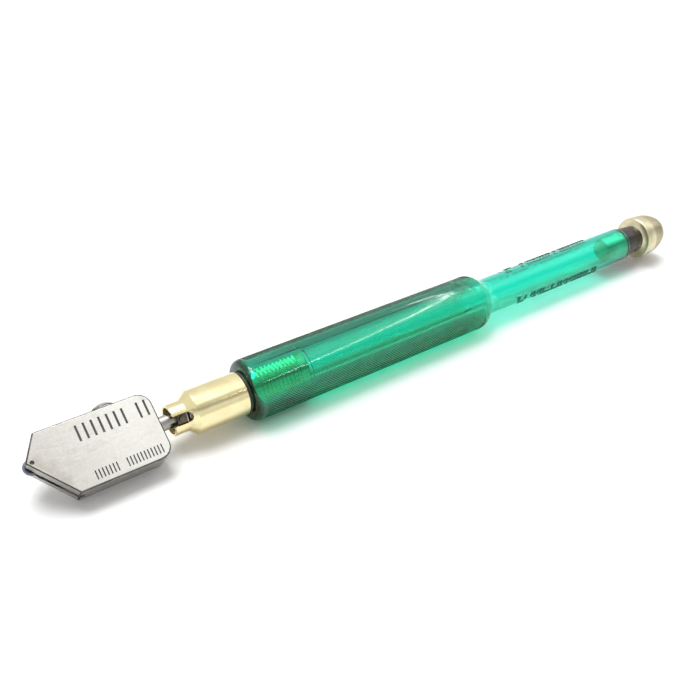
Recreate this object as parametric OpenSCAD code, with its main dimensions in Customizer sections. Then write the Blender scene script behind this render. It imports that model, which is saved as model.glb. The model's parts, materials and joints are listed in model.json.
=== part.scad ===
// Oil-feed glass cutter: flat steel head with a small cutting wheel, turned brass ferrule,
// clear green barrel that holds the oil, and a brass filler cap at the tail.
// It lies on its side along X, head towards -X. Stations run from the head's tip to the tail.

/* [Layout] */
// Roll of the flat head about the tool's own axis, in degrees
head_roll = 38.5; // [34:0.5:39]

/* [Head] */
// Length of the head plate
head_l = 24.5; // [23:0.1:26]
// Width of the head plate
head_w = 13.2; // [12.4:0.1:13.2]
// Thickness of the head plate
head_t = 6; // [5:0.1:6]
// How far the middle of the plate's width lies below the tool's axis
plate_drop = 0.25; // [0:0.05:0.25]
// How far the middle of the plate's thickness lies in front of the tool's axis
plate_lead = 0.17; // [0.15:0.01:0.3]
// Sideways offset of the pointed tip from the tool's axis
tip_offset = 1.6; // [1.4:0.1:2]
// Run of the short slope beside the tip
short_slope = 3; // [2.6:0.1:3.6]
// Run of the long slope beside the tip
long_slope = 6.6; // [6:0.1:7.2]
// Radius of the two rear corners
rear_corner_r = 2.6; // [1.5:0.1:3]

/* [Cutting wheel] */
// Diameter of the cutting wheel
wheel_d = 3; // [2.8:0.1:3.2]
// Thickness of the cutting wheel
wheel_t = 0.9; // [0.7:0.05:0.95]
// How far the wheel stands out past the tip
wheel_reach = 0.35; // [0.25:0.05:0.5]
// Sideways offset of the axle from the tool's axis
axle_offset = 1.35; // [1.3:0.05:1.5]
// Diameter of the axle pin
axle_d = 0.8; // [0.7:0.05:0.8]

/* [Head screw] */
// Distance of the screw from the head's tip
screw_x = 16.5; // [15:0.1:20]
// Diameter of the screw's slotted head
screw_head_d = 4.6; // [4:0.1:5]
// Height of the screw's domed, slotted head
screw_head_h = 1.5; // [1.2:0.1:1.8]
// Diameter of the screw's thread
screw_d = 2.4; // [2:0.1:2.6]

/* [Post and valve] */
// Diameter of the hollow post that carries the head
post_d = 3; // [2.8:0.1:3]
// Depth of the post inside the head
post_depth = 12.3; // [10:0.1:14]
// Gap between the head and the ferrule, open at rest
head_gap = 2.4; // [1.8:0.1:3]
// How far the head is pushed back to open the valve
press_travel = 1; // [0.5:0.1:1]
// Diameter of the key pin that rides in the ferrule's slot
key_pin_d = 1.3; // [1.1:0.1:1.3]
// Number of turns in the feed spring
spring_turns = 6; // [4:1:8]
// Wire diameter of the feed spring
spring_wire = 0.5; // [0.3:0.05:0.5]

/* [Ferrule] */
// Diameter of the ferrule's nose
nose_d = 6.26; // [6.2:0.02:6.6]
// Length of the nose before its cone
nose_l = 3; // [2.8:0.1:3.4]
// Diameter of the ferrule's body
ferrule_d = 9; // [8.6:0.1:9.4]
// Length of the ferrule that shows in front of the barrel
ferrule_l = 15.5; // [15.3:0.1:16]
// Width of the slot in the nose
slot_w = 2.1; // [2.1:0.05:2.4]
// Direction of the slot around the axis, in degrees from +Y towards +Z
slot_angle = 153; // [0:1:360]

/* [Barrel] */
// Diameter of the grip
grip_d = 13; // [13:0.1:14]
// Length of the grip
grip_l = 60.6; // [50:0.1:70]
// Diameter of the slim shank
shank_d = 8.5; // [8.4:0.1:9]
// Length of the barrel from front face to tail face
barrel_l = 114; // [106:0.5:124]
// Diameter of the oil reservoir inside the grip
reservoir_d = 7.4; // [6.4:0.1:7.8]
// Diameter of the filler bore inside the shank
filler_d = 5.8; // [5.6:0.1:6.2]

/* [Cap] */
// Diameter of the cap
cap_d = 10.8; // [10:0.1:12]
// Length of the cap behind its gasket
cap_l = 9.1; // [8.4:0.1:11]
// Length of the tapered rubber gasket
gasket_l = 6; // [4:0.1:7]
// Length of the cap's threaded stud inside the barrel
stud_l = 7.6; // [6:0.1:10]

/* [Hidden] */

$fn = 96;
eps = 0.01;            // overrun of a cut past the face it opens
fit = 0.02;            // radial clearance of parts that stay put
running = 0.05;        // radial clearance of parts that slide or turn
face_gap = 0.05;       // gap between faces of pieces that move apart

// Head
upper_edge = head_w / 2 - plate_drop;
lower_edge = -head_w / 2 - plate_drop;
back_face = plate_lead - head_t / 2;
axle_x = wheel_d / 2 - wheel_reach;
wheel_slot_w = wheel_t + 0.2;
wheel_slot_r = wheel_d / 2 + 0.4;
groove_depth = 0.5;
channel_d = 1.5;
channel_x = 2;         // front end of the oil channel, inside the wheel slot
post_x = head_l - post_depth;
screw_slot_w = 0.6;
screw_slot_depth = 0.8;
screw_rim_h = 0.5;     // straight wall of the screw's head, below its dome

// Ferrule stations
nose_x = head_l + head_gap;
cone_x = nose_x + nose_l;
body_x = cone_x + 1.3;
ferrule_end = nose_x + ferrule_l;
nose_bore = 5.3;
web_x = ferrule_end - 4.4;      // front face of the wall that carries the valve
web_end = web_x + 2.8;
valve_bore = 5.8;
valve_d = valve_bore - 0.6;
spigot_d = 7.9;
spigot_l = 14.1;
spigot_stop = ferrule_end + spigot_l + 0.5;

// Post and valve stations
post_bore = 1.4;
collar_x = nose_x + 0.9;
collar_l = 1.8;
key_x = collar_x + collar_l / 2;
slot_l = key_x - nose_x + key_pin_d / 2 + press_travel + 0.25;
washer_x = collar_x + collar_l + face_gap;
washer_t = 0.3;
spring_x = washer_x + washer_t + face_gap;
spring_end = web_x - face_gap;
seal_groove_x = web_x + 0.9;
seal_groove_w = 1;
seal_groove_r = 2.35;
port_x = web_end - 0.4;
port_d = 0.7;          // cross hole that lets the oil into the post
wick_back = 0.9;       // how far the wick stops short of the cross hole
key_pin_foot = post_bore / 2 + 0.4;
key_pin_end = nose_d / 2 - 0.1;
valve_seal_x = web_end + face_gap;
valve_seal_t = 0.6;
valve_washer_x = valve_seal_x + valve_seal_t;
valve_nut_x = valve_washer_x + washer_t;
valve_nut_l = 2.2;
post_end = valve_nut_x + valve_nut_l + 1.2;

// Barrel stations
seal_t = 0.5;
barrel_x = ferrule_end + seal_t + 2 * face_gap;
barrel_end = barrel_x + barrel_l;
grip_end = barrel_x + grip_l;
front_edge_r = 1.3;
shoulder_r = 2.2;
fillet_r = 5.8;
shoulder_turn = acos(1 - (grip_d - shank_d) / 2 / (shoulder_r + fillet_r));
shank_x = grip_end + (shoulder_r + fillet_r) * sin(shoulder_turn);
reservoir_end = grip_end - 5.6;
taper_end = reservoir_end + 8;  // where the reservoir has narrowed to the filler bore
tail_edge_r = 0.35;

// Tail stations
gasket_x = barrel_end + 2 * face_gap;
cap_x = gasket_x + gasket_l + face_gap;
cap_end = cap_x + cap_l;
rim_l = 2.8;           // straight part of the cap before its dome
dome_axis = 7.6;       // half length of the ellipse that the dome is cut from
stud_d = filler_d - 2 * running;
stud_neck_d = 4.8;

// Middle of the whole tool's length, which sets the frame's origin
mid_x = (cap_end - wheel_reach) / 2;

// Lays the tool on its side, with the grip resting on the ground plane
module placed() translate([-mid_x, 0, grip_d / 2]) children();

// The same, turned with the head: local X runs to the tail, local Z is the plate's normal
module rolled() placed() rotate([head_roll, 0, 0]) children();

module rod(x0, x1, d) translate([x0, 0, 0]) rotate([0, 90, 0]) cylinder(h = x1 - x0, d = d);

module ring(x0, x1, d_out, d_in) {
    difference() {
        rod(x0, x1, d_out);
        rod(x0 - eps, x1 + eps, d_in);
    }
}

// Solid of revolution about X from points [radius, station]
module turned(points) rotate([0, 90, 0]) rotate_extrude() polygon(points);

// Arc of a profile, its angles counted from the tail direction outwards
function arc(radius, station, r, from, to, steps = 8) =
    [for (i = [0:steps]) let (a = from + (to - from) * i / steps)
        [radius + r * sin(a), station + r * cos(a)]];

// Cuts the square rear corner at the plate's upper edge, half_w above its middle, back to a round one
module corner_cut(half_w) {
    translate([head_l - rear_corner_r, half_w - rear_corner_r, back_face - eps]) {
        difference() {
            cube([rear_corner_r + 1, rear_corner_r + 1, head_t + 2 * eps]);
            translate([0, 0, -1]) cylinder(h = head_t + 2, r = rear_corner_r);
        }
    }
}

// Shallow groove in the middle of the long slope, from the tip to the lower corner
module slope_groove() {
    rise = tip_offset - lower_edge;
    slope_l = sqrt(pow(long_slope, 2) + pow(rise, 2));
    translate([0, tip_offset, -wheel_slot_w / 2])
        rotate([0, 0, -atan2(rise, long_slope)])
            translate([0, -groove_depth, 0])
                cube([slope_l + groove_depth, 2 * groove_depth, wheel_slot_w]);
}

module head_body() {
    color([0.82, 0.81, 0.78]) rolled() difference() {
        translate([0, 0, back_face]) linear_extrude(head_t) polygon([
            [0, tip_offset], [short_slope, upper_edge], [head_l, upper_edge],
            [head_l, lower_edge], [long_slope, lower_edge]]);
        corner_cut(upper_edge);
        mirror([0, 1, 0]) corner_cut(-lower_edge);
        translate([axle_x, axle_offset, -wheel_slot_w / 2]) cylinder(h = wheel_slot_w, r = wheel_slot_r);
        slope_groove();
        translate([axle_x, axle_offset, -head_t]) cylinder(h = 2 * head_t, d = axle_d);
        rod(channel_x, post_x + eps, channel_d);
        rod(post_x, head_l + eps, post_d + 2 * fit);
        translate([screw_x, 0, 0]) rotate([-90, 0, 0]) cylinder(h = head_w, d = screw_d + 2 * fit);
    }
}

module cutting_wheel() {
    half_t = wheel_t / 2;
    rim_r = wheel_d / 2 - 0.2;
    color([0.42, 0.46, 0.52]) rolled() translate([axle_x, axle_offset, 0]) difference() {
        rotate_extrude() polygon([
            [0, -half_t], [rim_r, -half_t], [wheel_d / 2, 0], [rim_r, half_t], [0, half_t]]);
        translate([0, 0, -wheel_t]) cylinder(h = 2 * wheel_t, d = axle_d + 2 * running);
    }
}

module wheel_axle() {
    recess = 0.4;
    color([0.5, 0.5, 0.52]) rolled() translate([axle_x, axle_offset, back_face + recess])
        cylinder(h = head_t - 2 * recess, d = axle_d);
}

module head_screw() {
    foot = post_d / 2 + fit;
    rim_r = screw_head_d / 2;
    dome_h = screw_head_h - screw_rim_h;
    dome_r = (rim_r * rim_r + dome_h * dome_h) / (2 * dome_h);
    dome = [for (i = [0:8]) let (r = rim_r * (1 - i / 8))
        [r, upper_edge + screw_head_h - dome_r + sqrt(dome_r * dome_r - r * r)]];
    color([0.75, 0.75, 0.76]) rolled() translate([screw_x, 0, 0]) rotate([-90, 0, 0]) difference() {
        rotate_extrude() polygon(concat(
            [[0, foot], [screw_d / 2, foot], [screw_d / 2, upper_edge], [rim_r, upper_edge]], dome));
        translate([0, 0, upper_edge + screw_head_h]) rotate([0, 0, 25])
            cube([screw_head_d + 1, screw_slot_w, 2 * screw_slot_depth], center = true);
    }
}

module feed_wick() {
    color([0.93, 0.91, 0.84]) placed() rod(channel_x + 1, port_x - wick_back, post_bore - 0.2);
}

module key_pin_at(length, d, from) {
    rotate([slot_angle, 0, 0]) translate([key_x, from, 0]) rotate([-90, 0, 0]) cylinder(h = length, d = d);
}

module head_post() {
    color([0.8, 0.8, 0.8]) placed() difference() {
        rod(post_x, post_end, post_d);
        rod(post_x - eps, port_x + 0.6, post_bore);
        translate([port_x, 0, -post_d]) cylinder(h = 2 * post_d, d = port_d);
        key_pin_at(post_d, key_pin_d, key_pin_foot);
    }
}

module post_collar() {
    color([0.3, 0.29, 0.28]) placed() difference() {
        ring(collar_x, collar_x + collar_l, nose_bore - 4 * running, post_d + 2 * fit);
        key_pin_at(nose_d, key_pin_d, 0);
    }
}

module key_pin() {
    color([0.3, 0.3, 0.32]) placed() key_pin_at(key_pin_end - key_pin_foot, key_pin_d, key_pin_foot);
}

module spring_washer() {
    color([0.7, 0.7, 0.7]) placed()
        ring(washer_x, washer_x + washer_t, nose_bore - 4 * running, post_d + 4 * running);
}

// Round-wire helix: rings of points along the coil, joined by quads and closed at both ends
module coil(x0, x1, coil_r, wire_r, turns, steps = 20, sides = 8) {
    count = turns * steps;
    start = x0 + wire_r;
    rise = x1 - x0 - 2 * wire_r;
    points = [for (i = [0:count]) for (j = [0:sides - 1])
        let (turn = 360 * i / steps, side = 360 * j / sides, r = coil_r + wire_r * cos(side))
        [start + rise * i / count + wire_r * sin(side), r * cos(turn), r * sin(turn)]];
    walls = [for (i = [0:count - 1]) for (j = [0:sides - 1])
        let (k = (j + 1) % sides, a = i * sides, b = a + sides) [a + j, b + j, b + k, a + k]];
    first = [for (j = [0:sides - 1]) j];
    last = [for (j = [sides - 1:-1:0]) count * sides + j];
    polyhedron(points, concat(walls, [first, last]));
}

module feed_spring() {
    coil_r = (post_d + nose_bore) / 4;
    color([0.72, 0.72, 0.74]) placed() coil(spring_x, spring_end, coil_r, spring_wire / 2, spring_turns);
}

module ferrule() {
    chamfer = 0.25;
    step_r = ferrule_d / 2 - 0.3;
    web_bore_r = post_d / 2 + running;
    color([0.83, 0.76, 0.52]) placed() difference() {
        turned([
            [nose_bore / 2, nose_x], [nose_d / 2 - 0.1, nose_x], [nose_d / 2, nose_x + 0.1],
            [nose_d / 2, cone_x], [step_r, body_x], [ferrule_d / 2, body_x + 0.3],
            [ferrule_d / 2, ferrule_end - chamfer], [ferrule_d / 2 - chamfer, ferrule_end],
            [spigot_d / 2, ferrule_end], [spigot_d / 2, ferrule_end + spigot_l],
            [valve_bore / 2, ferrule_end + spigot_l], [valve_bore / 2, web_end],
            [web_bore_r, web_end], [web_bore_r, seal_groove_x + seal_groove_w],
            [seal_groove_r, seal_groove_x + seal_groove_w], [seal_groove_r, seal_groove_x],
            [web_bore_r, seal_groove_x],
            [web_bore_r, web_x], [nose_bore / 2, web_x]]);
        rotate([slot_angle, 0, 0]) {
            translate([nose_x - 1, 0, -slot_w / 2]) cube([slot_l + 1 - slot_w / 2, nose_d, slot_w]);
            translate([nose_x + slot_l - slot_w / 2, 0, 0]) rotate([-90, 0, 0])
                cylinder(h = nose_d, d = slot_w);
        }
    }
}

// Round-section rubber ring in the ferrule's inner groove
module post_seal() {
    wire_r = 0.4;
    color([0.1, 0.1, 0.1]) placed()
        translate([seal_groove_x + seal_groove_w / 2, 0, 0]) rotate([0, 90, 0])
            rotate_extrude() translate([post_d / 2 + wire_r + 0.03, 0]) circle(r = wire_r, $fn = 32);
}

module valve_seal() {
    color([0.12, 0.12, 0.12]) placed()
        ring(valve_seal_x, valve_seal_x + valve_seal_t, valve_d, post_d + 2 * fit);
}

module valve_washer() {
    color([0.75, 0.7, 0.5]) placed()
        ring(valve_washer_x, valve_washer_x + washer_t, valve_d, post_d + 2 * fit);
}

module valve_nut() {
    color([0.8, 0.74, 0.5]) placed() difference() {
        translate([valve_nut_x, 0, 0]) rotate([0, 90, 0])
            cylinder(h = valve_nut_l, d = valve_d, $fn = 6);
        rod(valve_nut_x - eps, valve_nut_x + valve_nut_l + eps, post_d + 2 * fit);
    }
}

module ferrule_seal() {
    color([0.08, 0.09, 0.09]) placed()
        ring(ferrule_end + face_gap, ferrule_end + face_gap + seal_t, ferrule_d - 0.2, spigot_d + 4 * fit);
}

module barrel() {
    grip_r = grip_d / 2;
    shank_r = shank_d / 2;
    spigot_bore_r = spigot_d / 2 + running;
    color([0.1, 0.72, 0.56]) placed() turned(concat(
        [[spigot_bore_r, barrel_x]],
        arc(grip_r - front_edge_r, barrel_x + front_edge_r, front_edge_r, 180, 90),
        arc(grip_r - shoulder_r, grip_end, shoulder_r, 90, 90 - shoulder_turn),
        arc(shank_r + fillet_r, shank_x, fillet_r, 270 - shoulder_turn, 270, 12),
        arc(shank_r - tail_edge_r, barrel_end - tail_edge_r, tail_edge_r, 90, 0, 6),
        [[filler_d / 2, barrel_end], [filler_d / 2, taper_end], [reservoir_d / 2, reservoir_end],
         [reservoir_d / 2, spigot_stop], [spigot_bore_r, spigot_stop]]));
}

module cap_gasket() {
    bore_r = stud_neck_d / 2 + running;
    front_r = shank_d / 2 - 0.3;
    rear_r = 3.4;
    color([0.13, 0.11, 0.1]) placed() turned([
        [bore_r, gasket_x], [front_r - 0.2, gasket_x], [front_r, gasket_x + 0.2],
        [rear_r, gasket_x + gasket_l], [bore_r, gasket_x + gasket_l]]);
}

module cap() {
    stud_x = barrel_end - stud_l;
    stud_r = stud_d / 2;
    lead = 0.3;
    rim_r = cap_d / 2;
    dome_l = cap_l - rim_l;
    steps = 12;
    dome = [for (i = [0:steps]) let (u = dome_l * i / steps)
        [rim_r * sqrt(1 - pow(u / dome_axis, 2)), cap_x + rim_l + u]];
    color([0.86, 0.8, 0.6]) placed() turned(concat(
        [[0, stud_x], [stud_r - lead, stud_x], [stud_r, stud_x + lead], [stud_r, barrel_end - lead],
         [stud_neck_d / 2, barrel_end - lead / 2], [stud_neck_d / 2, cap_x],
         [rim_r - 0.15, cap_x], [rim_r, cap_x + 0.15]],
        dome,
        [[0, cap_end]]));
}

head_body();
cutting_wheel();
wheel_axle();
head_screw();
feed_wick();
head_post();
post_collar();
key_pin();
spring_washer();
feed_spring();
ferrule();
post_seal();
valve_seal();
valve_washer();
valve_nut();
ferrule_seal();
barrel();
cap_gasket();
cap();
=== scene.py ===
import json
import math

import bmesh
import bpy
from mathutils import Matrix, Vector


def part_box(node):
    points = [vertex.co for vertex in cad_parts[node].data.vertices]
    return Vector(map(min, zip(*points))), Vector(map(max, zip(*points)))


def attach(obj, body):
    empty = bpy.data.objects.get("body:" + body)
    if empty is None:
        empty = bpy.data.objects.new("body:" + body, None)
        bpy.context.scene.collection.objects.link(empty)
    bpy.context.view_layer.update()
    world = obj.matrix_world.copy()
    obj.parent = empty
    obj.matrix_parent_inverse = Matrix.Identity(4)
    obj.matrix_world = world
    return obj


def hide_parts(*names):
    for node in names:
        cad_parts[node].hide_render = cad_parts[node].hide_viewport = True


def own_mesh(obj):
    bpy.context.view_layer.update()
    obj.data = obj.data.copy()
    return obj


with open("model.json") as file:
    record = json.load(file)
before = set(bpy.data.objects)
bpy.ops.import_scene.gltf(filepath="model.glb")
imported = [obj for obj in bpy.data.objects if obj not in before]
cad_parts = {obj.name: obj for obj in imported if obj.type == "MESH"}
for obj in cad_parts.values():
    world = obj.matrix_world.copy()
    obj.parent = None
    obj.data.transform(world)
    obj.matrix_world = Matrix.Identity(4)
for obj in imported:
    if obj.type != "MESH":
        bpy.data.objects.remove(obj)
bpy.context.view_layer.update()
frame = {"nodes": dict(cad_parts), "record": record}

MM = 0.001
TIP_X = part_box("head_body")[0].x
AXIS_Z = (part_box("barrel")[0].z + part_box("barrel")[1].z) / 2
HEAD_ROLL = math.radians(38.5)   # roll of the flat head about the tool's axis
HEAD_HALF = 3.0 * MM             # half the flat head's thickness
HEAD_LEAD = 0.17 * MM            # how far its middle plane lies in front of the tool's axis

# Local frames: the tool's own axis as X, and the same turned with the head
TOOL = Matrix.Translation((TIP_X, 0, AXIS_Z)) @ Matrix.Diagonal((MM, MM, MM, 1))
HEAD = TOOL @ Matrix.Rotation(HEAD_ROLL, 4, "X")


def station(x):
    """Distance of a point on the row's X from the head's tip, in millimetres."""
    return (x - TIP_X) / MM


def span(node):
    """First and last station of a CAD node, in millimetres."""
    low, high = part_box(node)
    return station(low.x), station(high.x)


def girth(node):
    """Largest radius of a round CAD node about the tool's axis, in millimetres."""
    low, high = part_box(node)
    return (high.z - low.z) / 2 / MM


# ---------------------------------------------------------------- camera

EYE_FROM_TIP = Vector((-0.02073, -0.12379, 0.09881))
LOOK = Vector((0.4942, 0.6793, -0.5425))

camera = bpy.data.objects.new("camera", bpy.data.cameras.new("camera"))
camera.data.sensor_width = 36
camera.data.lens = 43.76
camera.data.clip_start = 0.005
camera.location = Vector((TIP_X, 0, AXIS_Z)) + EYE_FROM_TIP
camera.rotation_euler = LOOK.to_track_quat("-Z", "Y").to_euler()
bpy.context.scene.collection.objects.link(camera)
bpy.context.scene.camera = camera


# ---------------------------------------------------------------- node helpers

def put(tree, kind, *values, out=0, **settings):
    """Adds a node, sets its inputs in order from sockets or plain values, and returns an output."""
    node = tree.nodes.new(kind)
    for key, value in settings.items():
        setattr(node, key, value)
    for socket, value in zip(node.inputs, values):
        if isinstance(value, bpy.types.NodeSocket):
            tree.links.new(value, socket)
        elif value is not None:
            socket.default_value = value
    return node.outputs[out]


def calc(tree, operation, *values):
    """One step of arithmetic."""
    return put(tree, "ShaderNodeMath", *values, operation=operation)


def mixed(tree, amount, first, second):
    """Blend of two colours."""
    node = tree.nodes.new("ShaderNodeMix")
    node.data_type = "RGBA"
    for name, value in (("Factor_Float", amount), ("A_Color", first), ("B_Color", second)):
        socket = next(s for s in node.inputs if s.identifier == name)
        if isinstance(value, bpy.types.NodeSocket):
            tree.links.new(value, socket)
        else:
            socket.default_value = value
    return next(s for s in node.outputs if s.identifier == "Result_Color")


def ranged(tree, value, low, high, to_low, to_high):
    """Maps low to high onto to_low to to_high, and holds the value beyond them."""
    return put(tree, "ShaderNodeMapRange", value, low, high, to_low, to_high)


# ---------------------------------------------------------------- finishes

def shade(name):
    """A new material with a Principled shader, and the pieces needed to build on it."""
    material = bpy.data.materials.new(name)
    material.use_nodes = True
    tree = material.node_tree
    return material, tree, tree.nodes["Principled BSDF"], tree.nodes["Material Output"]


def spot(tree, scale, stretch=(1, 1, 1), detail=3.0, roll=0.0, rough=0.55):
    """Noise on Object coordinates, stretched along the piece's own axes. Scale is in waves a metre."""
    coords = put(tree, "ShaderNodeTexCoord", out=3)
    turned_coords = put(tree, "ShaderNodeMapping", coords, (0, 0, 0), (-roll, 0, 0), stretch)
    node = tree.nodes.new("ShaderNodeTexNoise")
    tree.links.new(turned_coords, node.inputs["Vector"])
    node.inputs["Scale"].default_value = scale
    node.inputs["Detail"].default_value = detail
    node.inputs["Roughness"].default_value = rough
    return node.outputs[0]


def bump(tree, shader, height, strength, distance):
    """Relief drawn in the light only. Distance is its height in metres."""
    node = tree.nodes.new("ShaderNodeBump")
    node.inputs["Strength"].default_value = strength
    node.inputs["Distance"].default_value = distance
    tree.links.new(height, node.inputs["Height"])
    tree.links.new(node.outputs[0], shader.inputs["Normal"])


def metal(name, colour, worn, rough, lines, depth=0.4, groove_tone=None):
    """Machined metal: fine tool lines, slow colour drift and uneven gloss. Where there is a knurl,
    groove_tone is the colour of its grooves, which the attribute "groove" marks, so that the grooves are
    darker."""
    material, tree, shader, _ = shade(name)
    drift = spot(tree, 260, detail=5.0)
    fine = spot(tree, 900, lines, detail=4.0, rough=0.7)
    tint = mixed(tree, ranged(tree, drift, 0.42, 0.68, 0.0, 1.0), (*colour, 1), (*worn, 1))
    if groove_tone:
        groove = put(tree, "ShaderNodeAttribute", attribute_name="groove", out=2)
        tint = mixed(tree, groove, tint, (*groove_tone, 1))
    tree.links.new(tint, shader.inputs["Base Color"])
    both = calc(tree, "MULTIPLY_ADD", fine, 0.6, calc(tree, "MULTIPLY", drift, 0.4))
    tree.links.new(ranged(tree, both, 0.3, 0.7, *rough), shader.inputs["Roughness"])
    shader.inputs["Metallic"].default_value = 1.0
    bump(tree, shader, fine, depth, 0.00003)
    return material


def ground_steel():
    """Surface-ground plate with faint brown oil stains near the tip, and painted shade on its narrow sides.
    """
    material, tree, shader, _ = shade("ground_steel")
    fine = spot(tree, 700, (0.25, 3.0, 3.0), detail=5.0, roll=HEAD_ROLL, rough=0.75)
    speck = spot(tree, 2600, detail=3.0, roll=HEAD_ROLL)
    blot = spot(tree, 170, detail=6.0, roll=HEAD_ROLL, rough=0.65)
    coords = put(tree, "ShaderNodeTexCoord", out=3)
    parts = tree.nodes.new("ShaderNodeSeparateXYZ")
    tree.links.new(coords, parts.inputs[0])
    clean = ranged(tree, parts.outputs[0], TIP_X + 3 * MM, TIP_X + 18 * MM, 0.0, 1.0)
    kept = calc(tree, "SUBTRACT", 1.0, calc(tree, "MULTIPLY", clean, 0.7))
    stain = calc(tree, "MULTIPLY", ranged(tree, blot, 0.46, 0.66, 0.0, 0.8), kept)
    ground = mixed(tree, clean, (0.60, 0.585, 0.545, 1), (0.75, 0.74, 0.69, 1))
    dusty = mixed(tree, clean, (0.53, 0.515, 0.475, 1), (0.68, 0.67, 0.62, 1))
    base = mixed(tree, ranged(tree, speck, 0.35, 0.7, 0.0, 1.0), ground, dusty)
    face = mixed(tree, stain, base, (0.40, 0.37, 0.325, 1))
    # Painted shade: the sawn sides are coloured darker than the two ground faces, which lie a half thickness
    # off the middle, standing in for the shaded table that they mirror
    across = put(tree, "ShaderNodeVectorMath", coords, (0, -math.sin(HEAD_ROLL), math.cos(HEAD_ROLL)),
                 operation="DOT_PRODUCT", out=1)
    middle = AXIS_Z * math.cos(HEAD_ROLL) + HEAD_LEAD
    off = calc(tree, "ABSOLUTE", calc(tree, "SUBTRACT", across, middle))
    side = ranged(tree, off, HEAD_HALF - 0.3 * MM, HEAD_HALF - 0.12 * MM, 1.0, 0.0)
    tree.links.new(mixed(tree, side, face, (0.42, 0.405, 0.38, 1)), shader.inputs["Base Color"])
    both = calc(tree, "MULTIPLY_ADD", fine, 0.5, calc(tree, "MULTIPLY", blot, 0.5))
    tree.links.new(ranged(tree, both, 0.3, 0.7, 0.3, 0.5), shader.inputs["Roughness"])
    shader.inputs["Metallic"].default_value = 0.9
    grain = calc(tree, "MULTIPLY_ADD", speck, 0.4, fine)
    bump(tree, shader, grain, 0.45, 0.00004)
    return material


def rubber(name, colour, dull, rough):
    """Moulded rubber, and the dark colour of the engraved marks: a fine grain, and slow patches that are
    duller.
    """
    material, tree, shader, _ = shade(name)
    drift = spot(tree, 420, detail=4.0)
    grain = spot(tree, 3500, detail=2.0)
    tint = mixed(tree, ranged(tree, drift, 0.35, 0.65, 0, 1), (*colour, 1), (*dull, 1))
    tree.links.new(tint, shader.inputs["Base Color"])
    tree.links.new(ranged(tree, drift, 0.3, 0.7, *rough), shader.inputs["Roughness"])
    bump(tree, shader, grain, 0.25, 0.00003)
    return material


def cotton():
    """Twisted wick, darker where oil has dirtied its strands."""
    material, tree, shader, _ = shade("wick_cotton")
    strands = spot(tree, 1500, (0.4, 2.5, 2.5), detail=3.0)
    dirt = ranged(tree, strands, 0.35, 0.65, 0, 1)
    tint = mixed(tree, dirt, (0.86, 0.82, 0.70, 1), (0.62, 0.56, 0.42, 1))
    tree.links.new(tint, shader.inputs["Base Color"])
    tree.links.new(ranged(tree, strands, 0.3, 0.7, 0.7, 0.95), shader.inputs["Roughness"])
    bump(tree, shader, strands, 0.8, 0.0001)
    return material


def acrylic(name, skin, groove_skin, soak, density, clear, rough):
    """Tinted clear moulding: its body soaks up light, so it is deeper in colour where it is thick. Its skin
    is darker in the knurl's grooves, which the attribute "groove" marks. Lamps shine through it."""
    material, tree, shader, output = shade(name)
    drift = spot(tree, 120, (0.4, 1, 1), detail=3.0)
    grain = spot(tree, 900, (0.4, 1, 1), detail=2.0)
    groove = put(tree, "ShaderNodeAttribute", attribute_name="groove", out=2)
    uneven = mixed(tree, ranged(tree, drift, 0.35, 0.65, 0.0, 0.2), (*skin, 1), (*groove_skin, 1))
    tree.links.new(mixed(tree, groove, uneven, (*groove_skin, 1)), shader.inputs["Base Color"])
    smooth = ranged(tree, grain, 0.3, 0.7, *rough)
    tree.links.new(calc(tree, "MULTIPLY_ADD", groove, 0.3, smooth), shader.inputs["Roughness"])
    shader.inputs["Transmission Weight"].default_value = clear
    shader.inputs["IOR"].default_value = 1.49
    shader.inputs["Specular IOR Level"].default_value = 0.06
    bump(tree, shader, grain, 0.03, 0.00003)
    shadow = put(tree, "ShaderNodeLightPath", out=1)
    through = put(tree, "ShaderNodeBsdfTransparent", (0.70, 0.79, 0.75, 1))
    surface = put(tree, "ShaderNodeMixShader", shadow, shader.outputs[0], through)
    tree.links.new(surface, output.inputs["Surface"])
    if density:
        body = put(tree, "ShaderNodeVolumeAbsorption", (*soak, 1), density)
        tree.links.new(body, output.inputs["Volume"])
    return material


# How tool lines stretch along X, Y and Z: round and round a turning, all over, and along a wire
TURNED, PLAIN, DRAWN = (4, 0.2, 0.2), (1, 1, 1), (2, 2, 2)

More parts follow.
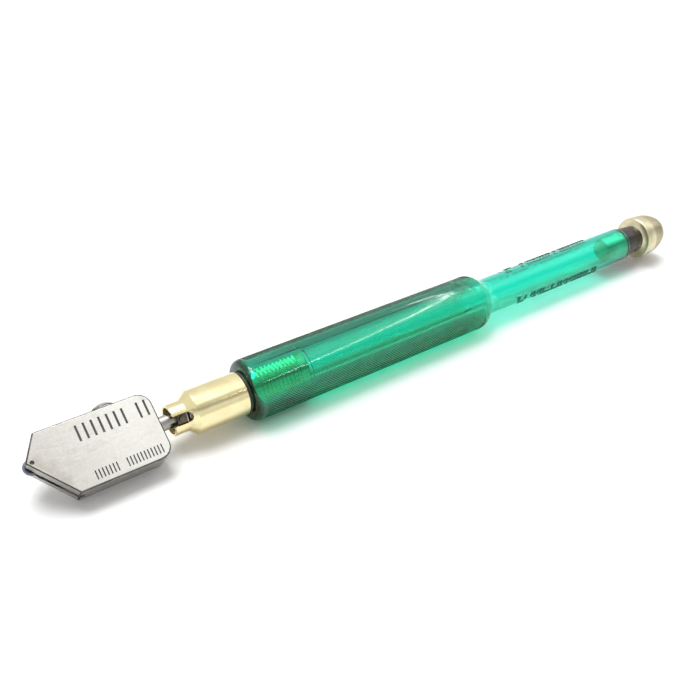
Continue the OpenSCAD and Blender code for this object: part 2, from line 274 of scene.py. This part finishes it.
FINISH = {
    "ground_steel": ground_steel(),
    "carbide": metal("carbide", (0.16, 0.18, 0.22), (0.10, 0.115, 0.14), (0.25, 0.4), PLAIN),
    "dark_steel": metal("dark_steel", (0.20, 0.17, 0.13), (0.11, 0.095, 0.075), (0.35, 0.55), (3, 0.3, 0.3)),
    "screw_steel": metal("screw_steel", (0.50, 0.50, 0.49), (0.36, 0.355, 0.34), (0.22, 0.36), PLAIN),
    "wick_cotton": cotton(),
    "post_steel": metal("post_steel", (0.50, 0.49, 0.45), (0.34, 0.33, 0.30), (0.2, 0.35), TURNED),
    "spring_steel": metal("spring_steel", (0.62, 0.63, 0.65), (0.45, 0.46, 0.48), (0.25, 0.4), DRAWN),
    "ferrule_brass": metal("ferrule_brass", (0.87, 0.78, 0.47), (0.80, 0.69, 0.37), (0.12, 0.22),
                           (5, 0.15, 0.15), depth=0.2),
    "valve_brass": metal("valve_brass", (0.72, 0.62, 0.36), (0.58, 0.48, 0.26), (0.25, 0.4), TURNED),
    "cap_brass": metal("cap_brass", (0.74, 0.68, 0.47), (0.57, 0.51, 0.33), (0.26, 0.42), TURNED,
                       depth=0.3, groove_tone=(0.50, 0.44, 0.29)),
    "seal_rubber": rubber("seal_rubber", (0.03, 0.03, 0.03), (0.05, 0.05, 0.05), (0.35, 0.55)),
    "gasket_rubber": rubber("gasket_rubber", (0.030, 0.024, 0.020), (0.015, 0.015, 0.013), (0.2, 0.35)),
    "green_acrylic": acrylic("green_acrylic", skin=(0.08, 0.95, 0.87), groove_skin=(0.02, 0.88, 0.79),
                             soak=(0.02, 0.91, 0.855), density=1100, clear=1.0, rough=(0.05, 0.13)),
}
BAR_GREEN = acrylic("bar_green", skin=(0.01, 0.13, 0.09), groove_skin=(0.005, 0.08, 0.06),
                    soak=(0, 0, 0), density=0, clear=0.1, rough=(0.3, 0.45))
# Painted shade: a dark steel for eased edges, standing in for the dark reflections that narrow bevels catch.
SHADE_EDGE_STEEL = metal("painted_shade_edge_steel", (0.12, 0.115, 0.105), (0.07, 0.065, 0.06), (0.35, 0.5), PLAIN)
# The engraved bars in the head's face are coloured this dark inside their pockets.
DARK_MARK = rubber("dark_mark", (0.10, 0.095, 0.09), (0.05, 0.048, 0.045), (0.5, 0.7))


# ---------------------------------------------------------------- mesh helpers

def rounded(profile, steps=4):
    """Profile of (station, radius) points. A third value rounds that corner, in millimetres."""
    out = []
    for i, (x, r, *size) in enumerate(profile):
        if not size:
            out.append((x, r))
            continue
        here = Vector((x, r))
        back = Vector(profile[i - 1][:2]) - here
        on = Vector(profile[(i + 1) % len(profile)][:2]) - here
        half = back.angle(on) / 2
        reach = min(size[0] / math.tan(half), 0.48 * back.length, 0.48 * on.length)
        centre = here + (back.normalized() + on.normalized()).normalized() * reach / math.cos(half)
        first = here + back.normalized() * reach - centre
        last = here + on.normalized() * reach - centre
        turn = math.atan2(first.x * last.y - first.y * last.x, first.dot(last))
        for k in range(steps + 1):
            a = turn * k / steps
            out.append((centre.x + first.x * math.cos(a) - first.y * math.sin(a),
                        centre.y + first.x * math.sin(a) + first.y * math.cos(a)))
    return out


def arc(x, r, size, start, end, steps):
    """Points on an arc about (x, r), its angles counted from +X towards a larger radius, in degrees."""
    angles = [math.radians(start + (end - start) * k / steps) for k in range(steps + 1)]
    return [(x + size * math.cos(a), r + size * math.sin(a)) for a in angles]


def piece(name, mesh_or_bm, slot, body=None, *nodes):
    """Puts a finished mesh in the scene with its slot's material, under its body, and hides the CAD nodes it
    stands for.
    """
    if isinstance(mesh_or_bm, bmesh.types.BMesh):
        mesh = bpy.data.meshes.new(name)
        mesh_or_bm.to_mesh(mesh)
        mesh_or_bm.free()
    else:
        mesh = mesh_or_bm
    obj = bpy.data.objects.new(name, mesh)
    bpy.context.scene.collection.objects.link(obj)
    if slot:
        mesh.materials.clear()
        mesh.materials.append(FINISH[slot])
    if body:
        settle(obj, slot, body, *nodes)
    return obj


def settle(obj, slot, body, *nodes):
    """Attaches a finished piece to its body and hides the CAD nodes it stands for."""
    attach(obj, body)
    if nodes:
        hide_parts(*nodes)
    return obj


def baked(obj):
    """Replaces the object's mesh by what its modifiers make of it, and drops them."""
    mesh = bpy.data.meshes.new_from_object(obj.evaluated_get(bpy.context.evaluated_depsgraph_get()))
    obj.modifiers.clear()
    obj.data = mesh
    return obj


def revolve(profile, columns=96, closed=False, place=TOOL, crest_rows=None):
    """Closed solid of revolution about local X. Rows between crest_rows are cut for a diamond knurl,
    with every second point marked as a crest."""
    bm = bmesh.new()
    crest = bm.verts.layers.float.new("crest")
    rings = []
    for i, (x, r) in enumerate(profile):
        if r < 1e-6:
            rings.append([bm.verts.new((x, 0, 0))])
            continue
        ring = []
        for k in range(columns):
            a = 2 * math.pi * k / columns
            vert = bm.verts.new((x, r * math.cos(a), r * math.sin(a)))
            vert[crest] = (i + k) % 2
            ring.append(vert)
        rings.append(ring)
    follow = rings[1:] + rings[:1] if closed else rings[1:]
    for i, (a, b) in enumerate(zip(rings, follow)):
        knurled = crest_rows and crest_rows[0] <= i < crest_rows[1]
        for k in range(columns):
            n = (k + 1) % columns
            if len(a) == 1:
                bm.faces.new((a[0], b[n], b[k]))
            elif len(b) == 1:
                bm.faces.new((a[k], a[n], b[0]))
            elif not knurled:
                bm.faces.new((a[k], a[n], b[n], b[k]))
            elif (i + k) % 2 == 0:      # the groove runs from a[k] to b[n]
                bm.faces.new((a[k], a[n], b[n]))
                bm.faces.new((a[k], b[n], b[k]))
            else:
                bm.faces.new((a[k], a[n], b[k]))
                bm.faces.new((a[n], b[n], b[k]))
    bmesh.ops.recalc_face_normals(bm, faces=bm.faces)
    for face in bm.faces:
        face.smooth = True
    bm.transform(place)
    return bm


def from_cad(node):
    """A merged copy of a CAD node's mesh, ready for bevels and cuts."""
    bm = bmesh.new()
    bm.from_mesh(frame["nodes"][node].data)
    bmesh.ops.remove_doubles(bm, verts=bm.verts, dist=1e-6)
    bmesh.ops.dissolve_limit(bm, angle_limit=math.radians(0.5), verts=bm.verts, edges=bm.edges)
    return bm


def eased(obj, width, segments=2, angle=30, edge=None, spare=None):
    """Rounds the sharp edges of a piece, in a darker edge material of painted shade if one is given, and
    keeps its large flat faces flat in the light. Edges that the function spare picks out stay as they are."""
    if edge:
        obj.data.materials.append(edge)
    bm = bmesh.new()
    bm.from_mesh(obj.data)
    weight = bm.edges.layers.float.new("bevel_weight_edge")
    for e in bm.edges:
        sharp = len(e.link_faces) == 2 and e.calc_face_angle() > math.radians(angle)
        e[weight] = sharp and not (spare and spare(e))
    for face in bm.faces:
        face.smooth = True
    bm.to_mesh(obj.data)
    bm.free()
    modifier = obj.modifiers.new("edges", "BEVEL")
    modifier.width = width * MM
    modifier.segments = segments
    modifier.limit_method = "WEIGHT"
    modifier.use_clamp_overlap = False
    modifier.material = len(obj.data.materials) - 1 if edge else -1
    weighted = obj.modifiers.new("normals", "WEIGHTED_NORMAL")
    weighted.mode = "FACE_AREA"
    weighted.weight = 100
    return baked(obj)


def carve(obj, tool):
    """Cuts the tool's shape out of a piece and removes the tool."""
    modifier = obj.modifiers.new("cut", "BOOLEAN")
    modifier.object = tool
    modifier.operation = "DIFFERENCE"
    modifier.solver = "EXACT"
    baked(obj)
    bpy.data.objects.remove(tool)
    return obj


# ---------------------------------------------------------------- geometry node trees

def grown(name, inputs):
    """A new Geometry Nodes tree with a mesh in and out, and named inputs."""
    tree = bpy.data.node_groups.new(name, "GeometryNodeTree")
    tree.interface.new_socket("Geometry", in_out="INPUT", socket_type="NodeSocketGeometry")
    for label, kind, value in inputs:
        socket = tree.interface.new_socket(label, in_out="INPUT", socket_type="NodeSocket" + kind)
        if value is not None:
            socket.default_value = value
    tree.interface.new_socket("Geometry", in_out="OUTPUT", socket_type="NodeSocketGeometry")
    source = tree.nodes.new("NodeGroupInput")
    return tree, {s.name: s for s in source.outputs if s.name}


def finish_tree(tree, geometry, material):
    """Every tree ends in Realize Instances and Set Material."""
    real = put(tree, "GeometryNodeRealizeInstances", geometry)
    named = put(tree, "GeometryNodeSetMaterial", real, True, material)
    tree.links.new(named, tree.nodes.new("NodeGroupOutput").inputs[0])
    return tree


def grow(obj, tree, **values):
    """Runs a tree on an object with the given inputs, and keeps the result as a plain mesh."""
    modifier = obj.modifiers.new(tree.name, "NODES")
    modifier.node_group = tree
    ids = {i.name: i.identifier for i in tree.interface.items_tree if i.in_out == "INPUT"}
    for label, value in values.items():
        modifier[ids[label.replace("_", " ")]] = value
    return baked(obj)


def knurl_tree():
    """Presses the points between crests inwards, in the fields beside the two smooth strips."""
    tree, given = grown("diamond knurl", [
        ("Depth", "Float", 0.1 * MM), ("Start", "Float", 0.0), ("End", "Float", 0.1),
        ("Strip Angle", "Float", 0.0), ("Strip Half Width", "Float", 0.0), ("Axis Height", "Float", AXIS_Z),
        ("Finish", "Material", None)])
    place = put(tree, "GeometryNodeInputPosition")
    parts = tree.nodes.new("ShaderNodeSeparateXYZ")
    tree.links.new(place, parts.inputs[0])
    x, y, z = parts.outputs
    rise = calc(tree, "SUBTRACT", z, given["Axis Height"])
    radius = calc(tree, "SQRT", calc(tree, "MULTIPLY_ADD", y, y, calc(tree, "MULTIPLY", rise, rise)))
    up_part = calc(tree, "MULTIPLY", rise, calc(tree, "COSINE", given["Strip Angle"]))
    side_part = calc(tree, "MULTIPLY", y, calc(tree, "SINE", given["Strip Angle"]))
    across = calc(tree, "SUBTRACT", up_part, side_part)
    off_strip = calc(tree, "DIVIDE", calc(tree, "ABSOLUTE", across), radius)
    in_field = calc(tree, "GREATER_THAN", off_strip, calc(tree, "SINE", given["Strip Half Width"]))
    after = calc(tree, "GREATER_THAN", x, given["Start"])
    before = calc(tree, "LESS_THAN", x, given["End"])
    field = calc(tree, "MULTIPLY", in_field, calc(tree, "MULTIPLY", after, before))
    crest = put(tree, "GeometryNodeInputNamedAttribute", "crest", data_type="FLOAT")
    press = calc(tree, "MULTIPLY", calc(tree, "MULTIPLY", field, calc(tree, "SUBTRACT", crest, 1.0)),
                 calc(tree, "DIVIDE", given["Depth"], radius))
    inwards = calc(tree, "MULTIPLY", y, press), calc(tree, "MULTIPLY", rise, press)
    move = put(tree, "ShaderNodeCombineXYZ", 0.0, *inwards)
    moved = put(tree, "GeometryNodeSetPosition", given["Geometry"], True, None, move)
    groove = calc(tree, "MULTIPLY", field, calc(tree, "SUBTRACT", 1.0, crest))
    marked = put(tree, "GeometryNodeStoreNamedAttribute", moved, True, "groove",
                 data_type="FLOAT", domain="POINT")
    tree.links.new(groove, next(i for i in marked.node.inputs if i.name == "Value"))
    return finish_tree(tree, marked, given["Finish"])


def bar_tree():
    """A row of upright bars along X, with gaps, one bar shape repeated."""
    tree, given = grown("bar row", [
        ("Count", "Int", 10), ("Pitch", "Float", MM), ("Width", "Float", 0.3 * MM),
        ("Tall", "Float", MM), ("Depth", "Float", 0.2 * MM), ("Share", "Float", 0.9),
        ("Seed", "Int", 1), ("Finish", "Material", None)])
    step = put(tree, "ShaderNodeCombineXYZ", given["Pitch"], 0.0, 0.0)
    line = put(tree, "GeometryNodeMeshLine", given["Count"], None, (0, 0, 0), step, mode="OFFSET")
    kept = put(tree, "FunctionNodeRandomValue", data_type="BOOLEAN", out=3)
    node = kept.node
    tree.links.new(given["Share"], next(s for s in node.inputs if s.identifier == "Probability"))
    tree.links.new(given["Seed"], next(s for s in node.inputs if s.identifier == "Seed"))
    size = put(tree, "ShaderNodeCombineXYZ", given["Width"], given["Tall"], given["Depth"])
    bar = put(tree, "GeometryNodeMeshCube", size, 2, 2, 2)
    rows = put(tree, "GeometryNodeInstanceOnPoints", line, kept, bar)
    return finish_tree(tree, rows, given["Finish"])


def spring_tree():
    """Round wire wound on a helix along X."""
    tree, given = grown("coil spring", [
        ("Turns", "Float", 6.0), ("Coil Radius", "Float", 2 * MM), ("Wire Radius", "Float", 0.25 * MM),
        ("Length", "Float", 8 * MM), ("Finish", "Material", None)])
    steps_a_turn = 40
    helix = put(tree, "GeometryNodeCurveSpiral", steps_a_turn, given["Turns"], given["Coil Radius"],
                given["Coil Radius"], given["Length"])
    lying = put(tree, "GeometryNodeTransform", helix)
    lying.node.inputs["Rotation"].default_value = (0, math.radians(90), 0)
    section = put(tree, "GeometryNodeCurvePrimitiveCircle", mode="RADIUS")
    section.node.inputs["Resolution"].default_value = 12
    tree.links.new(given["Wire Radius"], section.node.inputs["Radius"])
    wire = tree.nodes.new("GeometryNodeCurveToMesh")
    tree.links.new(lying, wire.inputs[0])
    tree.links.new(section, wire.inputs["Profile Curve"])
    wire.inputs["Fill Caps"].default_value = True
    return finish_tree(tree, wire.outputs[0], given["Finish"])


KNURL, BARS, SPRING = knurl_tree(), bar_tree(), spring_tree()


# ---------------------------------------------------------------- barrel
# Lengths and radii of the pieces are in millimetres, and places along the tool are stations.

front, tail = span("barrel")
grip_r = girth("barrel")
grip_end = front + 60.6
shank_r = 4.25
GRIP_COLUMNS = 128


def barrel():
    """Grip, shoulder, shank, and the three bores inside them, in one moulding with a knurled grip."""
    nose_edge, grip_edge, fillet, tail_edge = 1.3, 2.2, 5.8, 0.35
    knurl_lead, knurl_tail = 1.6, 0.2
    spigot_r, reservoir_r, filler_r, spigot_stop = 4.0, 3.7, 2.9, 57.0
    turn = 44.05    # how far the shoulder's surface turns, in degrees
    knurl_step = 2 * math.pi * grip_r / GRIP_COLUMNS
    nose = arc(front + nose_edge, grip_r - nose_edge, nose_edge, 180, 90, 6)
    rows = round((grip_end - knurl_tail - front - knurl_lead) / knurl_step)
    field = [(front + knurl_lead + k * knurl_step, grip_r) for k in range(rows + 1)]
    shank = grip_end + (grip_edge + fillet) * math.sin(math.radians(turn))
    out = nose + field + arc(grip_end, grip_r - grip_edge, grip_edge, 90, 90 - turn, 6)
    out += arc(shank, shank_r + fillet, fillet, 270 - turn, 270, 10)
    slices = 24
    out += [(shank + (tail - tail_edge - shank) * k / slices, shank_r) for k in range(1, slices)]
    out += arc(tail - tail_edge, shank_r - tail_edge, tail_edge, 90, 0, 4)
    out += [(tail, filler_r, 0.1), (grip_end + 2.4, filler_r, 3), (grip_end - 5.6, reservoir_r, 3),
            (spigot_stop, reservoir_r, 0.5), (spigot_stop, spigot_r, 0.1), (front, spigot_r, 0.2)]
    solid = revolve(rounded(out), GRIP_COLUMNS, closed=True, crest_rows=(len(nose), len(nose) + rows))
    obj = piece("barrel_moulding", solid, "green_acrylic")
    grow(obj, KNURL, Depth=0.19 * MM, Start=TIP_X + 44.7 * MM, End=TIP_X + (grip_end - 0.4) * MM,
         Strip_Angle=math.radians(122), Strip_Half_Width=math.radians(40), Finish=FINISH["green_acrylic"])
    settle(obj, "green_acrylic", "handle", "barrel")


def raised_bars():
    """Plain raised strokes in two rows on each side of the shank, bent round it."""
    first, between_rows, tall = 116.5, 1.9, 1.35
    bent_r = (shank_r + 0.05) * MM
    for side, angle in {"front": 199, "back": 29}.items():
        bm = bmesh.new()
        for number in range(2):
            row = piece("row", bpy.data.meshes.new("row"), None)
            grow(row, BARS, Count=27, Pitch=1.05 * MM, Width=0.4 * MM, Tall=tall * MM, Depth=0.3 * MM,
                 Share=0.84, Seed=7 + number, Finish=BAR_GREEN)
            place = (TIP_X + (first + number) * MM, between_rows * number * MM, 0)
            row.data.transform(Matrix.Translation(place))
            bm.from_mesh(row.data)
            bpy.data.objects.remove(row)
        upright = [e for e in bm.edges if abs(e.verts[0].co.y - e.verts[1].co.y) > MM]
        bmesh.ops.subdivide_edges(bm, edges=upright, cuts=3)
        for vert in bm.verts:
            turn = math.radians(angle) + vert.co.y / bent_r
            reach = bent_r + vert.co.z
            vert.co.y = reach * math.cos(turn)
            vert.co.z = AXIS_Z + reach * math.sin(turn)
        bmesh.ops.recalc_face_normals(bm, faces=bm.faces)
        obj = piece("raised_bars_" + side, bm, "green_acrylic", "handle")
        obj.data.materials[0] = BAR_GREEN


# ---------------------------------------------------------------- ferrule and seals

def nose_slot(nose):
    """Cutter for the slot in the ferrule's nose: round ended, and open at the mouth."""
    width, length, angle = 2.1, 3.7, 153
    half = width / 2
    outline = [(nose - 1, -half), (nose - 1, half)] + arc(nose + length - half, 0, half, 90, -90, 16)
    bm = bmesh.new()
    face = bm.faces.new([bm.verts.new((x, 0, y)) for x, y in outline])
    new = bmesh.ops.extrude_face_region(bm, geom=[face])["geom"]
    bmesh.ops.translate(bm, verts=[v for v in new if isinstance(v, bmesh.types.BMVert)], vec=(0, 5, 0))
    bmesh.ops.recalc_face_normals(bm, faces=bm.faces)
    bm.transform(TOOL @ Matrix.Rotation(math.radians(angle), 4, "X"))
    return piece("slot_cutter", bm, None)


def ferrule():
    """Slotted nose, cone, body and threaded spigot. A web inside, with a seal's groove, guides the post."""
    nose, spigot_end = span("ferrule")
    nose_r, nose_bore, cone_r, body_r = 3.13, 2.65, 4.2, girth("ferrule")
    cone, cone_end, body, body_end = nose + 3, 31.2, 31.5, 42.4
    crest_r, root_r, tip_r, pitch = 3.95, 3.55, 3.6, 0.9
    web, web_end, valve_bore, post_bore = 38.0, 40.8, 2.9, 1.55
    seal, seal_end, seal_r = 38.9, 39.9, 2.35
    profile = rounded([
        (nose, nose_bore, 0.08), (nose, nose_r, 0.12), (cone, nose_r, 0.25), (cone_end, cone_r, 0.12),
        (body, body_r, 0.15), (body_end, body_r, 0.28), (body_end, crest_r), (body_end + 0.6, crest_r, 0.1)],
        steps=3)
    x = body_end + 1.0
    while x + pitch < spigot_end - 0.6:
        profile += [(x, crest_r), (x + 0.45 * pitch, root_r), (x + 0.55 * pitch, root_r)]
        x += pitch
    profile += rounded([
        (spigot_end - 0.4, crest_r), (spigot_end, tip_r, 0.1), (spigot_end, valve_bore, 0.1),
        (web_end, valve_bore), (web_end, post_bore), (seal_end, post_bore), (seal_end, seal_r),
        (seal, seal_r), (seal, post_bore), (web, post_bore), (web, nose_bore)], steps=3)
    obj = piece("ferrule_turning", revolve(profile, 128, closed=True), "ferrule_brass")
    carve(obj, nose_slot(nose))
    eased(obj, 0.06, angle=40)
    settle(obj, "ferrule_brass", "handle", "ferrule")


def rings():
    """Round rubber and metal rings along the axis, each with its finish, body and bore radius."""
    for node, slot, body, bore in (
            ("ferrule_seal", "seal_rubber", "handle", 3.99),
            ("spring_washer", "post_steel", "spring_washer", 1.6),
            ("valve_seal", "seal_rubber", "head", 1.52),
            ("valve_washer", "valve_brass", "head", 1.52)):
        first, last = span(node)
        outer = girth(node)
        ease = (last - first) * 0.25
        corners = [(first, bore), (first, outer), (last, outer), (last, bore)]
        profile = rounded([(x, r, ease) for x, r in corners], steps=3)
        piece(node + "_ring", revolve(profile, 72, closed=True), slot, body, node)


def spring():
    """Coil between the washer and the web."""
    first, last = span("feed_spring")
    wire_r, turns, keep = 0.25, 6.0, 0.874
    coil_r = girth("feed_spring") - wire_r
    obj = piece("feed_spring_coil", bpy.data.meshes.new("coil"), None)
    grow(obj, SPRING, Turns=turns, Coil_Radius=coil_r * MM, Wire_Radius=wire_r * MM,
         Length=(last - first - 2 * wire_r) * MM, Finish=FINISH["spring_steel"])
    obj.data.transform(Matrix.Translation((TIP_X + (first + wire_r) * MM, 0, AXIS_Z)))
    for polygon in obj.data.polygons:
        polygon.use_smooth = True
    settle(obj, "spring_steel", "handle", "feed_spring")
    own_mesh(obj)


# ---------------------------------------------------------------- head

def marks(count, pitch, width, tall, share, seed, x, y, face):
    """A row of upright cutters standing in the plate's face, ready to engrave it."""
    deep, cutter = 0.16, 0.5
    row = piece("row", bpy.data.meshes.new("row"), None)
    grow(row, BARS, Count=count, Pitch=pitch, Width=width, Tall=tall, Depth=cutter, Share=share, Seed=seed,
         Finish=DARK_MARK)
    row.data.transform(HEAD @ Matrix.Translation((x, y, face + cutter / 2 - deep)))
    return row


def axle_hub():
    """Middle of the wheel's axle in the head's own frame."""
    low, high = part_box("wheel_axle")
    return HEAD.inverted() @ ((low + high) / 2)


def head():
    """The ground plate, with eased edges in painted shade and two rows of plain engraved bars."""
    obj = piece("head_plate", from_cad("head_body"), "ground_steel")
    to_head = HEAD.inverted()
    face = max((to_head @ v.co).z for v in obj.data.vertices)
    hub = axle_hub()
    hole = 0.6      # edges this near the axle belong to its hole, which stays sharp
    eased(obj, 0.25, edge=SHADE_EDGE_STEEL,
          spare=lambda e: all((to_head @ v.co - hub).xy.length < hole for v in e.verts))
    obj.data.materials.append(DARK_MARK)
    carve(obj, marks(10, 1.45, 0.42, 3.1, 0.9, 4, 10.1, 3.3, face))
    carve(obj, marks(21, 0.66, 0.24, 1.75, 0.88, 2, 9.5, -4.95, face))
    eased(obj, 0.03, segments=1, angle=60)
    settle(obj, "ground_steel", "head", "head_body")


def wheel_and_axle():
    """Cutting wheel with a V edge, and its pin, both turned about the axle."""
    hub = axle_hub()
    across = HEAD @ Matrix.Translation((hub.x, hub.y, 0)) @ Matrix.Rotation(math.radians(-90), 4, "Y")
    half, bore, rim_r, edge_r = 0.45, 0.45, 1.3, 1.5
    profile = rounded([(-half, bore), (-half, rim_r, 0.05), (0, edge_r, 0.02), (half, rim_r, 0.05),
                       (half, bore)], steps=2)
    disc = revolve(profile, 96, closed=True, place=across)
    piece("cutting_wheel_disc", disc, "carbide", "wheel", "cutting_wheel")
    back_end, front_end, pin_r = -2.43, 2.77, 0.4
    profile = rounded([(back_end, 0), (back_end, pin_r, 0.08), (front_end, pin_r, 0.08), (front_end, 0)],
                      steps=3)
    piece("wheel_axle_pin", revolve(profile, 48, place=across), "dark_steel", "head", "wheel_axle")


def screw():
    """Slotted screw in the plate's upper edge."""
    obj = piece("head_screw_turning", from_cad("head_screw"), "screw_steel")
    # Painted shade on its eased edges, as on the plate's.
    eased(obj, 0.14, segments=3, angle=35, edge=SHADE_EDGE_STEEL)
    settle(obj, "screw_steel", "head", "head_screw")


def post():
    """Hollow post, bored blind from the head's side."""
    first, last = span("head_post")
    r, bore_r, bore_end = girth("head_post"), 0.7, 41.0
    profile = rounded([(bore_end, 0), (bore_end, bore_r), (first, bore_r), (first, r, 0.1), (last, r, 0.2),
                       (last, 0)])
    piece("head_post_tube", revolve(profile, 72), "post_steel", "head", "head_post")


# ---------------------------------------------------------------- tail

def gasket():
    """Tapered rubber gasket round the cap's neck."""
    first, last = span("cap_gasket")
    bore, wide, narrow = 2.45, 3.95, 3.4
    profile = rounded([(first, bore, 0.05), (first, wide, 0.3), (last, narrow, 0.12), (last, bore, 0.05)])
    piece("cap_gasket_cone", revolve(profile, 96, closed=True), "gasket_rubber", "gasket", "cap_gasket")


def cap():
    """Stud, neck, smooth rim and a knurled dome, which is part of an ellipse."""
    stud, last = span("cap")
    stud_r, stud_end, neck, neck_r = 2.85, 156.7, 156.85, 2.4
    rim, rim_r, band, band_end = 163.15, girth("cap"), 165.95, 171.2
    dome_half, end_edge, columns = 7.6, 0.3, 96

    def dome(x):
        return rim_r * math.sqrt(1 - ((x - band) / dome_half) ** 2)

    front_part = rounded([
        (stud, 0), (stud, stud_r, 0.3), (stud_end, stud_r, 0.1), (neck, neck_r), (rim, neck_r),
        (rim, rim_r, 0.35), (band, rim_r)], steps=5)
    step = 2 * math.pi * rim_r / columns
    rows = round((band_end - band) / step)
    field = [(band + k * step, dome(band + k * step)) for k in range(1, rows + 1)]
    back_part = rounded([(last - end_edge, dome(last - end_edge)), (last, dome(last), end_edge), (last, 0)])
    crest_rows = len(front_part), len(front_part) + rows
    solid = revolve(front_part + field + back_part, columns, crest_rows=crest_rows)
    obj = piece("cap_turning", solid, "cap_brass")
    grow(obj, KNURL, Depth=0.16 * MM, Start=TIP_X + (band + 0.1) * MM, End=TIP_X + band_end * MM,
         Strip_Angle=0.0, Strip_Half_Width=-0.1, Finish=FINISH["cap_brass"])
    settle(obj, "cap_brass", "cap", "cap")


barrel()
raised_bars()
ferrule()
rings()
spring()
head()
wheel_and_axle()
screw()
post()
gasket()
cap()

# The CAD nodes that no piece stands for keep their own mesh and get their finish
for entry in frame["record"]["subparts"]:
    node = frame["nodes"][entry["node"]]
    if not node.hide_render:
        node.data.materials.clear()
        node.data.materials.append(FINISH[entry["material_slot"]])


# ---------------------------------------------------------------- studio

def table():
    """White table top, a tenth of a millimetre under the tool."""
    material, tree, shader, _ = shade("white_table")
    shader.inputs["Roughness"].default_value = 0.9
    tint = mixed(tree, spot(tree, 8), (0.93, 0.93, 0.93, 1), (0.91, 0.91, 0.91, 1))
    tree.links.new(tint, shader.inputs["Base Color"])
    half = 3.0
    mesh = bpy.data.meshes.new("table")
    corners = [(-half, -half, 0), (half, -half, 0), (half, half, 0), (-half, half, 0)]
    mesh.from_pydata(corners, [], [(0, 1, 2, 3)])
    mesh.materials.append(material)
    floor = bpy.data.objects.new("table", mesh)
    floor.location.z = -0.1 * MM
    bpy.context.scene.collection.objects.link(floor)


def lamp(name, light, place, aim):
    """Hangs a light and turns it the way it shines."""
    obj = bpy.data.objects.new(name, light)
    obj.location = place
    obj.rotation_euler = Vector(aim).to_track_quat("-Z", "Y").to_euler()
    bpy.context.scene.collection.objects.link(obj)


def lights():
    """A broad soft key from above and behind, and a long thin strip that draws the streak on round pieces."""
    sun = bpy.data.lights.new("key", "SUN")
    sun.energy = 2.2
    sun.angle = math.radians(36)
    lamp("key", sun, (0, 0, 0), (0.05, -0.22, -1.0))
    strip = bpy.data.lights.new("overhead_strip", "AREA")
    strip.shape = "RECTANGLE"
    strip.size, strip.size_y = 0.86, 0.01
    strip.energy = 0.42
    hung = Vector((0.32, -0.055, 0.45))
    lamp("overhead_strip", strip, hung, -hung)


def room():
    """White room. Matt surfaces get a soft light from above and in front, and what mirrors or lets light
    through sees bright and dark walls, so that round metal shows streaks."""
    world = bpy.data.worlds.new("studio")
    world.use_nodes = True
    bpy.context.scene.world = world
    tree = world.node_tree
    background = tree.nodes["Background"]
    towards = tree.nodes.new("ShaderNodeSeparateXYZ")
    tree.links.new(put(tree, "ShaderNodeTexCoord", out=0), towards.inputs[0])
    x, y, z = towards.outputs
    # The walls go over the tool, from behind it (0) through overhead (0.5) to the front (1)
    over = calc(tree, "DIVIDE", calc(tree, "ARCTAN2", z, y), math.pi)
    ramp = tree.nodes.new("ShaderNodeValToRGB")
    tree.links.new(over, ramp.inputs[0])
    walls = ((0.0, 0.85), (0.30, 1.0), (0.62, 0.96), (0.72, 0.58),
             (0.80, 0.38), (0.88, 0.98), (0.95, 0.78), (1.0, 0.6))
    for at, level in walls:
        stop = ramp.color_ramp.elements.new(at)
        stop.color = (level, level, level, 1)
    # A bright window overhead, seen only by rays that lean towards the tail
    off_window = calc(tree, "ABSOLUTE", calc(tree, "SUBTRACT", over, 0.56))
    band = calc(tree, "SUBTRACT", 1.0, ranged(tree, off_window, 0.07, 0.11, 0.0, 1.0))
    window = calc(tree, "MULTIPLY", band, ranged(tree, x, 0.12, 0.34, 0.0, 0.6))
    mirrored = calc(tree, "ADD", ramp.outputs[0], window)
    upward = calc(tree, "MULTIPLY_ADD", y, 0.45, calc(tree, "MULTIPLY", z, 0.9))
    ambient = ranged(tree, upward, -0.35, 0.6, 0.25, 0.66)
    rays = tree.nodes.new("ShaderNodeLightPath")
    sharp = calc(tree, "MAXIMUM", rays.outputs["Is Glossy Ray"], rays.outputs["Is Transmission Ray"])
    level = calc(tree, "MULTIPLY_ADD", sharp, calc(tree, "SUBTRACT", mirrored, ambient), ambient)
    strength = calc(tree, "MAXIMUM", level, rays.outputs["Is Camera Ray"])
    tree.links.new(strength, background.inputs["Strength"])
    background.inputs["Color"].default_value = (1, 1, 1, 1)
    bpy.context.scene.view_settings.view_transform = "Standard"


table()
lights()
room()
